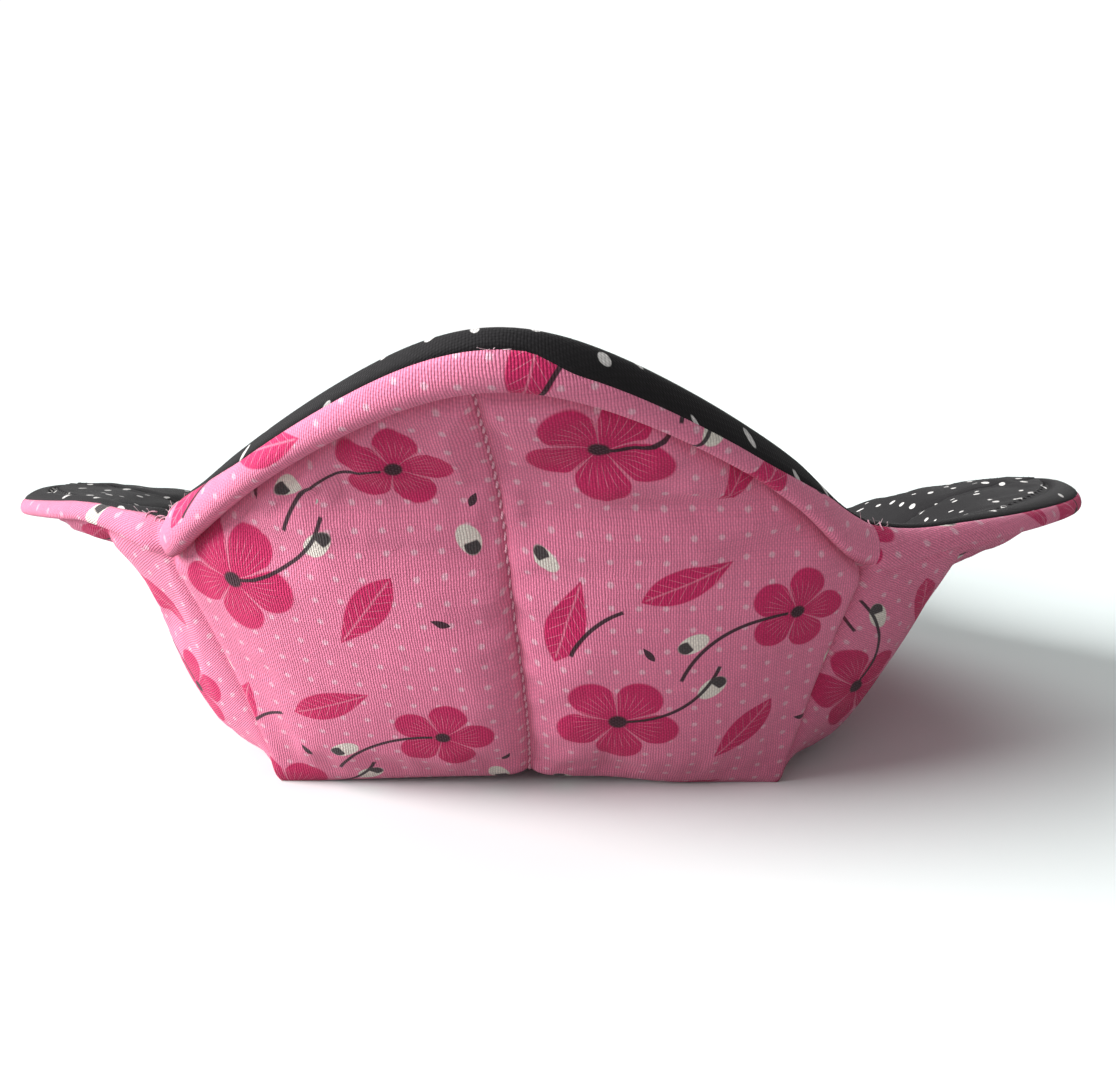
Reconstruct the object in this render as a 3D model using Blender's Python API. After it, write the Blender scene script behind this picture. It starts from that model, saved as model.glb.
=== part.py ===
"""Quilted cloth cozy for a hot bowl: two padded cloth shells, one inside the other, sewn at the rim.

Lengths are in metres. +Z is up, the middle of the underside is the origin, and the front is -Y.
Each shell is cut flat as a square base with four rounded lobes. A dart seam joins each pair of
neighbouring lobes from a base corner up to a junction, and above it the lobes are free.
"""

import bpy
import bmesh
import numpy as np

# Flat cloth
BASE_HALF = 0.0475          # half the side of the square base
JUNCTION_REACH = 0.0595     # cloth from the base edge up to a junction
LOBE_REACH = 0.1015         # cloth from the base edge up to the tip of a lobe
TIP_SHARPNESS = 2.9         # 1 is a shallow arc, a large value is a point
BEAD_DEPTH = 0.0078         # from the rim's edge down to the crease below its padded bead

# Where the dart seams end, as distances from the centre line and the table
FRONT_JUNCTION = (0.062, 0.061, 0.0492)
BACK_JUNCTION = (0.078, 0.068, 0.029)

# Slope of the cloth in degrees at distances up from the base edge
FRONT_SEAM_SLOPE = ((0.0, 31), (0.003, 62), (0.016, 71), (0.0595, 55))
BACK_SEAM_SLOPE = ((0.0, 30), (0.003, 51), (0.030, 52), (0.0595, 44))
FRONT_SLOPE = (
    (0.0, 0), (0.003, 38), (0.006, 53), (0.018, 58), (0.030, 70), (0.042, 76), (0.052, 74), (0.062, 64),
    (0.075, 43), (0.088, 40), (0.1015, 46))
BACK_SLOPE = (
    (0.0, 0), (0.003, 30), (0.008, 51), (0.020, 60), (0.032, 66), (0.044, 68), (0.054, 63), (0.064, 53),
    (0.077, 41), (0.090, 39), (0.1015, 43))
SIDE_SLOPE = (
    (0.0, 0), (0.005, 2), (0.012, 16), (0.022, 55), (0.032, 69), (0.042, 75), (0.050, 74), (0.058, 46),
    (0.068, 24), (0.080, 16), (0.092, 4), (0.1015, 3))
FRONT_EASE = 1.0            # share of its cloth length that the front lobe's middle spans
SIDE_EASE = 0.955           # the same for a side lobe
BACK_EASE = 0.92            # the same for the back lobe

# Roundness across a lobe: 2 is an arc, more is a flatter middle, less is a sharper one
CROSS_POWER = 2.3
FLAP_FRONT_POWER = 3.2
FLAP_BACK_POWER = 1.3

# Layers of the wall
INWARD_LEAN = 0.66          # layers are stacked in and up: this far in for each step up
LEAST_LEAN = 0.5            # keeps that stacking from running away on a steep fold
CLOTH = 0.0006
BATTING = 0.0024
GAP = 0.0003
BEAD_RADIUS = 0.0038
SEAM_ANGLE = 66.0           # where the two cloths meet on the bead: 0 faces out, 90 is its top
CREASE_DIP = 0.0013         # how far the crease below the bead pulls each face in
QUILT_DIP = 0.0012          # how far a quilting line pulls each face in
CROSSING_DIP = 0.0016       # the same where two quilting lines cross
DART_DIP = 0.0010           # how far a dart seam pulls each face in
THREAD_RADIUS = 0.0002
TOPSTITCH_RISE = 0.0005     # how far the thread in the crease rides above the gap, over its bends

# Fineness of the grid
SIDE_COLUMNS = (0.10, 0.40, 0.68, 0.88, 1.0)
COLUMNS = tuple(-s for s in reversed(SIDE_COLUMNS)) + (0.0,) + SIDE_COLUMNS
LOBE_ROWS = (0.0, 0.10, 0.22, 0.38, 0.55, 0.72, 0.87, 1.0)
BEAD_ANGLES_OUT = (-50.0, -10.0, 28.0)
BEAD_ANGLES_IN = (-50.0, -10.0, 28.0, 62.0, 90.0)
BEAD_ANGLES_BATTING = (-50.0, -10.0, 28.0, 62.0)
THREAD_SIDES = 6
SHARP_ANGLE = 50.0
SLOPE_STEP = 0.0005
SLOPE_BLUR = 8

WALL = 2 * CLOTH + 2 * BATTING + 3 * GAP
MIDDLE = len(COLUMNS) // 2
LAST = len(COLUMNS) - 1

PINK = (0.70, 0.18, 0.38)
BLACK = (0.018, 0.017, 0.020)
WHITE = (0.82, 0.80, 0.76)
PALE_PINK = (0.80, 0.35, 0.52)


def clear_scene():
    for thing in list(bpy.data.objects):
        bpy.data.objects.remove(thing, do_unlink=True)


def cloth_material(name, colour, roughness):
    material = bpy.data.materials.new(name)
    material.use_nodes = True
    shader = material.node_tree.nodes["Principled BSDF"]
    shader.inputs["Base Color"].default_value = (*colour, 1.0)
    shader.inputs["Roughness"].default_value = roughness
    shader.inputs["Metallic"].default_value = 0.0
    return material


def rim_reach(s):
    """Cloth from the base edge up to the rim, at s from -1 to 1 across a lobe."""
    blunt = 1.0 / TIP_SHARPNESS
    fall = (np.sqrt(s * s + blunt * blunt) - blunt) / (np.sqrt(1 + blunt * blunt) - blunt)
    return LOBE_REACH - (LOBE_REACH - JUNCTION_REACH) * fall


def walk(slope, ease=1.0):
    """Follow the cloth up from the base edge: its reach, distance out and height."""
    reach = np.arange(0.0, LOBE_REACH + BEAD_DEPTH, SLOPE_STEP)
    degrees = np.interp(reach, *np.transpose(slope))
    weights = np.hanning(2 * SLOPE_BLUR + 1)
    padded = np.pad(degrees, SLOPE_BLUR, mode="edge")
    angle = np.radians(np.convolve(padded, weights / weights.sum(), mode="valid"))
    out = np.concatenate([[0.0], np.cumsum(np.cos(angle[:-1]))]) * SLOPE_STEP * ease
    up = np.concatenate([[0.0], np.cumsum(np.sin(angle[:-1]))]) * SLOPE_STEP * ease
    return reach, out, up


def dart_seam(junction, slope):
    """Path of a dart seam from the base corner: along X, along Y and up, against reach."""
    reach, out, up = walk(slope)
    share_out = out / np.interp(JUNCTION_REACH, reach, out)
    share_up = up / np.interp(JUNCTION_REACH, reach, up)
    across, along = (junction[0] - BASE_HALF) * share_out, (junction[1] - BASE_HALF) * share_out
    return reach, across, along, junction[2] * share_up


FRONT_SEAM = dart_seam(FRONT_JUNCTION, FRONT_SEAM_SLOPE)
BACK_SEAM = dart_seam(BACK_JUNCTION, BACK_SEAM_SLOPE)

# Lobes in turn round the base: middle line, then for the seams at s = -1 and s = 1 their paths and the
# roundness towards them, and last whether the lobe faces along X
LOBES = (
    (walk(FRONT_SLOPE, FRONT_EASE), FRONT_SEAM, FRONT_SEAM, CROSS_POWER, CROSS_POWER, False),
    (walk(SIDE_SLOPE, SIDE_EASE), FRONT_SEAM, BACK_SEAM, FLAP_FRONT_POWER, FLAP_BACK_POWER, True),
    (walk(BACK_SLOPE, BACK_EASE), BACK_SEAM, BACK_SEAM, CROSS_POWER, CROSS_POWER, False),
    (walk(SIDE_SLOPE, SIDE_EASE), BACK_SEAM, FRONT_SEAM, FLAP_BACK_POWER, FLAP_FRONT_POWER, True),
)


def turned(lobe, across, out):
    """X and Y of a step across and out of a lobe."""
    return ((across, -out), (out, across), (-across, out), (-out, -across))[lobe]


def lobe_point(lobe, s, reach):
    """A point of the outer face: s from -1 to 1 across the lobe, and the cloth up from the base edge."""
    middle, low, high, low_power, high_power, along_x = LOBES[lobe]
    held = min(reach, JUNCTION_REACH)
    out_index, across_index = (1, 2) if along_x else (2, 1)
    seam = high if s >= 0 else low
    seam_out = np.interp(held, seam[0], seam[out_index])
    seam_up = np.interp(held, seam[0], seam[3])
    low_across = np.interp(held, low[0], low[across_index])
    high_across = np.interp(held, high[0], high[across_index])
    bend = abs(s) ** (high_power if s >= 0 else low_power)
    across = s * (BASE_HALF + (low_across + high_across + s * (high_across - low_across)) / 2)
    out = BASE_HALF + np.interp(reach, middle[0], middle[1])
    out += (seam_out - np.interp(held, middle[0], middle[1])) * bend
    up = np.interp(reach, middle[0], middle[2])
    up += (seam_up - np.interp(held, middle[0], middle[2])) * bend
    return np.array([*turned(lobe, across, out), up])


class Grid:
    """The outer face as one welded grid: base, lobes up to the crease, and the rim's edge above it."""

    def __init__(self):
        self.points, self.dips, self.leans, self.quads, self.index = [], [], [], [], {}
        for i in range(LAST):
            for j in range(LAST):
                places = ((i, j), (i, j + 1), (i + 1, j + 1), (i + 1, j))
                self.quads.append([self.base(*place) for place in places])
        top = len(LOBE_ROWS) - 1
        self.crease_columns, rim_columns = [], []
        for lobe in range(4):
            for i in range(LAST):
                for k in range(top):
                    places = ((i, k), (i + 1, k), (i + 1, k + 1), (i, k + 1))
                    self.quads.append([self.lobe(lobe, *place) for place in places])
                self.crease_columns.append(self.lobe(lobe, i, top))
                rim_columns.append(lobe_point(lobe, COLUMNS[i], rim_reach(COLUMNS[i])))
        self.points = np.array(self.points)
        self.inward = self.inward_steps()
        rim = np.array(rim_columns)
        self.rim_inward = self.inward[self.crease_columns]
        rimward = rim - self.points[self.crease_columns]
        self.rimward = rimward / np.linalg.norm(rimward, axis=1)[:, None]
        self.bead_centres = rim - self.rimward * BEAD_RADIUS + self.rim_inward * WALL / 2

    def add(self, key, point, dip, lean):
        if key not in self.index:
            self.index[key] = len(self.points)
            self.points.append(point)
            self.dips.append(dip)
            self.leans.append(np.array([*lean, 1.0]))
        return self.index[key]

    def base(self, i, j):
        quilted = (i == MIDDLE) + (j == MIDDLE)
        dip = (0.0, QUILT_DIP, CROSSING_DIP)[quilted]
        place = np.array([BASE_HALF * COLUMNS[i], BASE_HALF * COLUMNS[j], 0.0])
        return self.add(("base", i, j), place, dip, (-INWARD_LEAN * COLUMNS[i], -INWARD_LEAN * COLUMNS[j]))

    def lobe(self, lobe, i, k):
        if k == 0:
            return self.base(*((i, 0), (LAST, i), (LAST - i, LAST), (0, LAST - i))[lobe])
        s, share = COLUMNS[i], LOBE_ROWS[k]
        at_crease = k == len(LOBE_ROWS) - 1
        dip = CREASE_DIP if at_crease else {MIDDLE: QUILT_DIP, 0: DART_DIP, LAST: DART_DIP}.get(i, 0.0)
        key = ("lobe", lobe, i, k)
        if i in (0, LAST):
            key = ("dart", (lobe - (i == 0)) % 4, k)
        lean = turned(lobe, -INWARD_LEAN * s, -INWARD_LEAN)
        return self.add(key, lobe_point(lobe, s, (rim_reach(s) - BEAD_DEPTH) * share), dip, lean)

    def inward_steps(self):
        """For each point, the way through the wall that takes one unit of its thickness."""
        normals = np.zeros_like(self.points)
        for quad in self.quads:
            a, b, c, d = self.points[quad]
            normals[quad] += np.cross(c - a, d - b)
        normals /= np.linalg.norm(normals, axis=1)[:, None]
        leans = np.array(self.leans)
        return leans / np.maximum(-np.sum(leans * normals, axis=1), LEAST_LEAN)[:, None]


def build_layer(name, grid, outer_depth, inner_depth, bead_outer, bead_inner, material):
    """One sheet of the wall. Depths are from the outer face; beads are (outward, rimward) offsets."""
    mesh = bmesh.new()
    sides = []
    for depth, bead in ((outer_depth, bead_outer), (inner_depth, bead_inner)):
        places = grid.points + grid.inward * np.array([depth(dip) for dip in grid.dips])[:, None]
        walls = [mesh.verts.new(place) for place in places]
        rows = [[walls[i] for i in grid.crease_columns]]
        for outward, rimward in bead:
            ring = grid.bead_centres - grid.rim_inward * outward + grid.rimward * rimward
            rows.append([mesh.verts.new(place) for place in ring])
        sides.append((walls, rows))
    count = len(grid.crease_columns)
    for (walls, rows), outside in zip(sides, (True, False)):
        faces = [[walls[i] for i in quad] for quad in grid.quads]
        for low, high in zip(rows, rows[1:]):
            faces += [[low[i], low[(i + 1) % count], high[(i + 1) % count], high[i]] for i in range(count)]
        for a, b, c, d in faces:
            for corner in ((a, b, c), (a, c, d)):
                mesh.faces.new(corner if outside else corner[::-1])
    outer_rim, inner_rim = sides[0][1][-1], sides[1][1][-1]
    for i in range(count):
        following = (i + 1) % count
        mesh.faces.new((outer_rim[i], outer_rim[following], inner_rim[following], inner_rim[i]))
    return finish(name, mesh, material)


def finish(name, mesh, material):
    bmesh.ops.recalc_face_normals(mesh, faces=mesh.faces)
    data = bpy.data.meshes.new(name)
    mesh.to_mesh(data)
    mesh.free()
    data.materials.append(material)
    data.shade_smooth()
    data.set_sharp_from_angle(angle=np.radians(SHARP_ANGLE))
    thing = bpy.data.objects.new(name, data)
    bpy.context.collection.objects.link(thing)
    return thing


def arc(radius, degrees):
    return [(radius * np.cos(np.radians(a)), radius * np.sin(np.radians(a))) for a in degrees]


def build_layers(grid):
    pink = cloth_material("outer_cloth", PINK, 0.85)
    black = cloth_material("lining_cloth", BLACK, 0.85)
    white = cloth_material("batting", WHITE, 0.95)
    seam_gap = np.degrees(GAP / BEAD_RADIUS)
    out_angles = BEAD_ANGLES_OUT + (SEAM_ANGLE,)
    in_angles = tuple(180.0 - a for a in BEAD_ANGLES_IN) + (SEAM_ANGLE + seam_gap,)
    inner_radius = BEAD_RADIUS - CLOTH
    core = arc(inner_radius - GAP, BEAD_ANGLES_BATTING)
    flat = [(GAP / 2, up) for _, up in core]

    build_layer("outer_shell", grid, lambda dip: dip, lambda dip: dip + CLOTH,
                arc(BEAD_RADIUS, out_angles), arc(inner_radius, out_angles), pink)
    build_layer("outer_batting", grid, lambda dip: dip + CLOTH + GAP, lambda dip: (WALL - GAP) / 2,
                core, flat, white)
    build_layer("lining_batting", grid, lambda dip: (WALL + GAP) / 2, lambda dip: WALL - dip - CLOTH - GAP,
                [(-out, up) for out, up in flat], [(-out, up) for out, up in core], white)
    build_layer("lining", grid, lambda dip: WALL - dip - CLOTH, lambda dip: WALL - dip,
                arc(inner_radius, in_angles), arc(BEAD_RADIUS, in_angles), black)


def build_thread(name, path, normals, closed, material):
    """A round thread along a path, with a ring of points at each of its places."""
    mesh = bmesh.new()
    count = len(path)
    rings = []
    for i in range(count):
        ahead = path[(i + 1) % count] if closed or i < count - 1 else path[i]
        behind = path[i - 1] if closed or i > 0 else path[i]
        along = (ahead - behind) / np.linalg.norm(ahead - behind)
        side = np.cross(along, normals[i])
        side /= np.linalg.norm(side)
        lift = np.cross(side, along)
        turns = [2 * np.pi * k / THREAD_SIDES for k in range(THREAD_SIDES)]
        ring = [path[i] + THREAD_RADIUS * (np.cos(a) * side + np.sin(a) * lift) for a in turns]
        rings.append([mesh.verts.new(place) for place in ring])
    for i in range(count if closed else count - 1):
        low, high = rings[i], rings[(i + 1) % count]
        for k in range(THREAD_SIDES):
            after = (k + 1) % THREAD_SIDES
            mesh.faces.new((low[k], low[after], high[after], high[k]))
    if not closed:
        mesh.faces.new(rings[0][::-1])
        mesh.faces.new(rings[-1])
    return finish(name, mesh, material)


def quilting_columns(grid, lobe):
    """Grid places along a quilting line, from the middle of one lobe over the base to the opposite one."""
    rows = range(len(LOBE_ROWS) - 2, 0, -1)
    near = [grid.lobe(lobe, MIDDLE, k) for k in rows]
    across = [grid.base(MIDDLE, j) if lobe == 0 else grid.base(LAST - j, MIDDLE) for j in range(len(COLUMNS))]
    far = [grid.lobe(lobe + 2, MIDDLE, k) for k in reversed(rows)]
    return near + across + far


def build_threads(grid):
    pink = cloth_material("outer_thread", PALE_PINK, 0.6)
    black = cloth_material("lining_thread", BLACK, 0.6)
    stand_off = GAP + THREAD_RADIUS
    dips = np.array(grid.dips)
    for face, material, side in (("outer", pink, 1.0), ("lining", black, -1.0)):
        for lobe, run in ((0, "front_to_back"), (1, "side_to_side")):
            places = quilting_columns(grid, lobe)
            crossing = len(places) // 2
            lift = np.full(len(places), stand_off)
            if run == "side_to_side":
                lift[crossing] += 2 * THREAD_RADIUS + GAP
            depth = dips[places] if face == "outer" else WALL - dips[places]
            inward = grid.inward[places]
            path = grid.points[places] + inward * (depth - lift * side)[:, None]
            build_thread(f"{face}_quilting_{run}", path, inward, False, material)
        places = grid.crease_columns
        depth = dips[places] if face == "outer" else WALL - dips[places]
        inward = grid.inward[places]
        path = grid.points[places] + inward * (depth - (stand_off + TOPSTITCH_RISE) * side)[:, None]
        build_thread(f"{face}_topstitch", path, inward, True, material)


clear_scene()
cloth_grid = Grid()
build_layers(cloth_grid)
build_threads(cloth_grid)
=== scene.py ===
"""Looks of a quilted cloth cozy for a hot bowl: two cloths, two layers of wadding and the sewing.

Lengths are in metres unless a name says otherwise. +Z is up and the front is -Y. Every layer is one
welded grid: a square base, four lobes sewn along dart seams, and a padded bead round the rim.
"""

import math

import bpy
import numpy as np
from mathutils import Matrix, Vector


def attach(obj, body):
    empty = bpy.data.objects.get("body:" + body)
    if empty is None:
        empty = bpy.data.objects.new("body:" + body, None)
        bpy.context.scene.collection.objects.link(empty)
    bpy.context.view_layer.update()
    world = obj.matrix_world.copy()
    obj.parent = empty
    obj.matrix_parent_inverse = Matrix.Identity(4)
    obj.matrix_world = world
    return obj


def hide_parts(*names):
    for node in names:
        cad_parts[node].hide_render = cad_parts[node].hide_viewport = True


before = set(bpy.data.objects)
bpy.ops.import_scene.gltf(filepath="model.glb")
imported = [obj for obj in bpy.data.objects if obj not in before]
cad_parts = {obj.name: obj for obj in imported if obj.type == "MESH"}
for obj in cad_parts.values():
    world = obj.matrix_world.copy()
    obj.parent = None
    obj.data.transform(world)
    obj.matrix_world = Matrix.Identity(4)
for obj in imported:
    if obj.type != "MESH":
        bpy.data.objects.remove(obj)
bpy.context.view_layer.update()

# Flat cloth, as in the CAD model
BASE_HALF = 0.0475
JUNCTION_HALF_WIDTH = 0.062
JUNCTION_REACH = 0.0595
LOBE_REACH = 0.1015
TIP_SHARPNESS = 2.9
BEAD_DEPTH = 0.0074
FLAT_SIDE = 2 * (BASE_HALF + LOBE_REACH)

# Where the dart seams end, as distances from the centre line and the table
FRONT_JUNCTION = (0.062, 0.061, 0.0492)
BACK_JUNCTION = (0.078, 0.068, 0.029)

# Slope of the cloth in degrees at distances up from the base edge
FRONT_SEAM_SLOPE = ((0.0, 31), (0.003, 62), (0.016, 71), (0.0595, 55))
BACK_SEAM_SLOPE = ((0.0, 30), (0.003, 51), (0.030, 52), (0.0595, 44))
FRONT_SLOPE = (
    (0.0, 0), (0.003, 38), (0.006, 53), (0.018, 58), (0.030, 70), (0.042, 76), (0.052, 74), (0.062, 64),
    (0.075, 43), (0.088, 40), (0.1015, 46))
BACK_SLOPE = (
    (0.0, 0), (0.003, 30), (0.008, 51), (0.020, 60), (0.032, 66), (0.044, 68), (0.054, 63), (0.064, 53),
    (0.077, 41), (0.090, 39), (0.1015, 43))
SIDE_SLOPE = (
    (0.0, 0), (0.005, 2), (0.012, 16), (0.022, 55), (0.032, 69), (0.042, 75), (0.050, 74), (0.058, 46),
    (0.068, 24), (0.080, 16), (0.092, 4), (0.1015, 3))
FRONT_EASE = 1.0
SIDE_EASE = 0.955
BACK_EASE = 0.92
CROSS_POWER = 2.3
FLAP_FRONT_POWER = 3.2
FLAP_BACK_POWER = 1.3
SLOPE_STEP = 0.0005
SLOPE_BLUR = 8

# How the hand-sewn cloth has settled, away from the even shape. Pairs are for the right and left flaps
BASE_TWIST = 4.5
BASE_SHIFT = (-0.0021, 0.0027)
SETTLE_HEIGHT = 0.050
FLAP_START = (0.048, 0.0627)
FLAP_END = 0.116
FLAP_SAG = (0.0021, 0.0069)
FLAP_TILT = (0.0014, 0.0041)
FLAP_SPREAD = (-0.0038, 0.0022)
SIDE_BULGE = (0.0038, -0.0009)
SETTLE_FADE = 0.020
TILT_START = 0.060
TILT_WIDTH = 0.045
BULGE_START = 0.044
BULGE_WIDTH = 0.062
BULGE_HEIGHT = 0.036
BULGE_RISE = 0.016
TIP_SKEW = 0.075
# The front edge lifts off the table between these places along X, and fades in along Y
EDGE_LIFT = 0.0015
EDGE_LIFT_START = (-0.046, -0.006)
EDGE_LIFT_END = (0.012, 0.030)
EDGE_LIFT_DEPTH = (0.020, 0.046)
# The front quilting line wanders to one side
SEAM_WANDER = 0.0014
WANDER_HEIGHT = 0.080
WANDER_WIDTH = 0.055

# Layers of the wall
INWARD_LEAN = 0.66
LEAST_LEAN = 0.5
CLOTH = 0.0006
BATTING = 0.0024
GAP = 0.0003
WALL = 2 * CLOTH + 2 * BATTING + 3 * GAP
BEAD_RADIUS = 0.0038
BEAD_FOOT_SPACE = 0.0004
BEAD_PINCH = 0.0018
PINCH_LENGTH = 0.014
BEAD_PUFF = 0.22
BEAD_BACK = 0.74
FLAP_BEAD = 0.80
FLAP_BEAD_START = 0.012
OPEN_RIM_START = 0.010
KNOB = 0.18
KNOB_PLACE = 0.0055
KNOB_LENGTH = 0.0040
# How far the bead is drawn in where lobes meet: at the left front corner, and at the others
CLEFTS = (0.34, 0.08)
CLEFT_LENGTH = 0.0018
CORNER_REACH = 0.012
CORNER_SPAN = 0.0048
# Corners in turn: left front, right front, right back, left back
CORNER_CURVE = (0.6, 1.0, 0.8, 0.8)

# The seam on the bead: 0 faces out, 90 is its top. It rolls outward right of the closed turning gap, and
# inward towards the junctions and all along the flaps
SEAM_ANGLE = 66.0
ROLLED_ANGLE = 44.0
FLAP_SEAM_ANGLE = 100.0
ROLL_START = (0.12, 0.24)
ROLL_END = (0.76, 0.94)
CORNER_TURN = (0.62, 0.97)
SEAM_GROOVE = 0.0005
BEAD_STEPS = 14
CORE_STEPS = 5

# Painted shade in the folds along the seams: how dark it is, and how far it reaches from the seam
SEAM_SHADE = 0.8
DART_SHADE = 1.2
SEAM_SHADE_WIDTH = 0.0006

# How far each kind of sewing pulls the cloth in, and how wide the pull is
QUILT_DIP = (0.0017, 0.0017)
DART_DIP = (0.0011, 0.0010)
FLAP_DART_DIP = (0.0021, 0.0018)
DART_START = 0.010
CREASE_DIP = (0.0022, 0.0017)
FLAP_THINNING = (0.0009, 0.010)
PUCKER = (0.00022, 0.0040)
PUCKER_LENGTH = 0.0074

# Hand stitches at the front corners, and loose fibres as (place round the rim in lobes, how many)
WHIP_RADIUS = 0.00013
LINT_RADIUS = 0.00004
LINT_SEED = 5
LINT_PLACES = ((0.0, 7), (0.05, 3), (1.0, 6), (0.60, 4), (3.97, 3))

# Spare cloth between the seams, which the wadding presses out into soft billows and folds
CLOTH_SPARE = 0.026
BILLOW_PRESSURE = 5.0
BILLOW_FRAMES = 22
BILLOW_MOST = 0.0016
LINING_BILLOW = 0.5
LOOSE_FROM_DART = 0.020
LOOSE_FROM_BASE = 0.012
LOOSE_FROM_TABLE = 0.006
CLOTH_WEIGHT = 0.10
CLOTH_STRETCH = 12.0
CLOTH_SHEAR = 4.0
CLOTH_BEND = 0.05

# Thread
THREAD_RADIUS = 0.00024
STITCH_LENGTH = 0.0022
STITCH_GAP = 0.0006
STITCH_SLANT = 0.00035

# Camera, fitted to the photograph
CAMERA_PLACE = (0.0234, -0.2351, 0.0873)
CAMERA_LEFT = 4.87
CAMERA_DOWN = 11.58
SENSOR_WIDTH = 36.0
IMAGE_WIDTH = 1116
FOCAL_PIXELS = 1070

# Light: a broad soft sun from the left, a wide fill from the upper left of the viewer, and a pale room
KEY_TOWARDS = (0.86, 0.24, -0.42)
KEY_STRENGTH = 6.2
KEY_SPREAD = 42.0
FILL_TOWARDS = (0.30, 0.90, -0.35)
FILL_STRENGTH = 0.42
FILL_SPREAD = 70.0
TOP_TOWARDS = (0.05, -0.22, -1.0)
TOP_STRENGTH = 0.8
TOP_SPREAD = 60.0
ROOM_STRENGTH = 0.19
BACKDROP_STRENGTH = 1.05

# Colours
PINK = (0.86, 0.25, 0.40)
PINK_DEEP = (0.82, 0.22, 0.365)
# Colours of the painted shade in the folds along the seams, on the pink cloth and on the black cloth
FOLD_SHADE_PINK = (0.42, 0.045, 0.10)
FOLD_SHADE_BLACK = (0.004, 0.004, 0.004)
DOT_PALE = (0.88, 0.52, 0.62)
MAGENTA = (0.62, 0.020, 0.125)
VEIN = (0.84, 0.30, 0.42)
OFF_WHITE = (0.82, 0.76, 0.68)
INK_BLACK = (0.03, 0.022, 0.028)
BLACK = (0.013, 0.012, 0.013)
BLACK_WORN = (0.030, 0.028, 0.030)
DOT_WHITE = (0.72, 0.70, 0.68)
WADDING = (0.80, 0.77, 0.72)
THREAD_PINK = (0.92, 0.46, 0.58)
THREAD_BLACK = (0.02, 0.018, 0.02)
THREAD_PALE = (0.86, 0.66, 0.70)
FLOOR_WHITE = (0.87, 0.945, 0.93)
FLOOR_DULL = (0.40, 0.40, 0.40)
FLOOR_REACH = 6.0


def smooth_step(low, high, x):
    share = np.clip((x - low) / (high - low), 0.0, 1.0)
    return share * share * (3 - 2 * share)


def rim_reach(s):
    """Cloth from the base edge up to the rim, at s from -1 to 1 across a lobe."""
    blunt = 1.0 / TIP_SHARPNESS
    fall = (np.sqrt(s * s + blunt * blunt) - blunt) / (math.sqrt(1 + blunt * blunt) - blunt)
    return LOBE_REACH - (LOBE_REACH - JUNCTION_REACH) * fall


def rim_round(lobe_of, s):
    """The same all round the rim. The front lobe's tip is cut a little to the right of its middle."""
    return rim_reach(np.where(lobe_of == FRONT, s - TIP_SKEW * (1 - s * s), s))


def half_width(reach):
    share = np.minimum(reach, JUNCTION_REACH) / JUNCTION_REACH
    return BASE_HALF + (JUNCTION_HALF_WIDTH - BASE_HALF) * share


def walk(slope, ease=1.0):
    """Follow the cloth up from the base edge: its reach, distance out and height."""
    reach = np.arange(0.0, LOBE_REACH + BEAD_DEPTH, SLOPE_STEP)
    degrees = np.interp(reach, *np.transpose(slope))
    weights = np.hanning(2 * SLOPE_BLUR + 1)
    padded = np.pad(degrees, SLOPE_BLUR, mode="edge")
    angle = np.radians(np.convolve(padded, weights / weights.sum(), mode="valid"))
    out = np.concatenate([[0.0], np.cumsum(np.cos(angle[:-1]))]) * SLOPE_STEP * ease
    up = np.concatenate([[0.0], np.cumsum(np.sin(angle[:-1]))]) * SLOPE_STEP * ease
    return reach, out, up


def dart_seam(junction, slope):
    """Path of a dart seam from the base corner: along X, along Y and up, against reach."""
    reach, out, up = walk(slope)
    share_out = out / np.interp(JUNCTION_REACH, reach, out)
    share_up = up / np.interp(JUNCTION_REACH, reach, up)
    across, along = (junction[0] - BASE_HALF) * share_out, (junction[1] - BASE_HALF) * share_out
    return reach, across, along, junction[2] * share_up


FRONT_SEAM = dart_seam(FRONT_JUNCTION, FRONT_SEAM_SLOPE)
BACK_SEAM = dart_seam(BACK_JUNCTION, BACK_SEAM_SLOPE)

# Lobes in turn round the base: middle line, then for the seams at s = -1 and s = 1 their paths and the
# roundness towards them, and last whether the lobe faces along X
FRONT, RIGHT, BACK, LEFT = range(4)
LOBES = (
    (walk(FRONT_SLOPE, FRONT_EASE), FRONT_SEAM, FRONT_SEAM, CROSS_POWER, CROSS_POWER, False),
    (walk(SIDE_SLOPE, SIDE_EASE), FRONT_SEAM, BACK_SEAM, FLAP_FRONT_POWER, FLAP_BACK_POWER, True),
    (walk(BACK_SLOPE, BACK_EASE), BACK_SEAM, BACK_SEAM, CROSS_POWER, CROSS_POWER, False),
    (walk(SIDE_SLOPE, SIDE_EASE), BACK_SEAM, FRONT_SEAM, FLAP_BACK_POWER, FLAP_FRONT_POWER, True),
)


def turned(lobe, across, out):
    """X and Y of a step across and out of a lobe."""
    return ((across, -out), (out, across), (-across, out), (-out, -across))[lobe]


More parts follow.
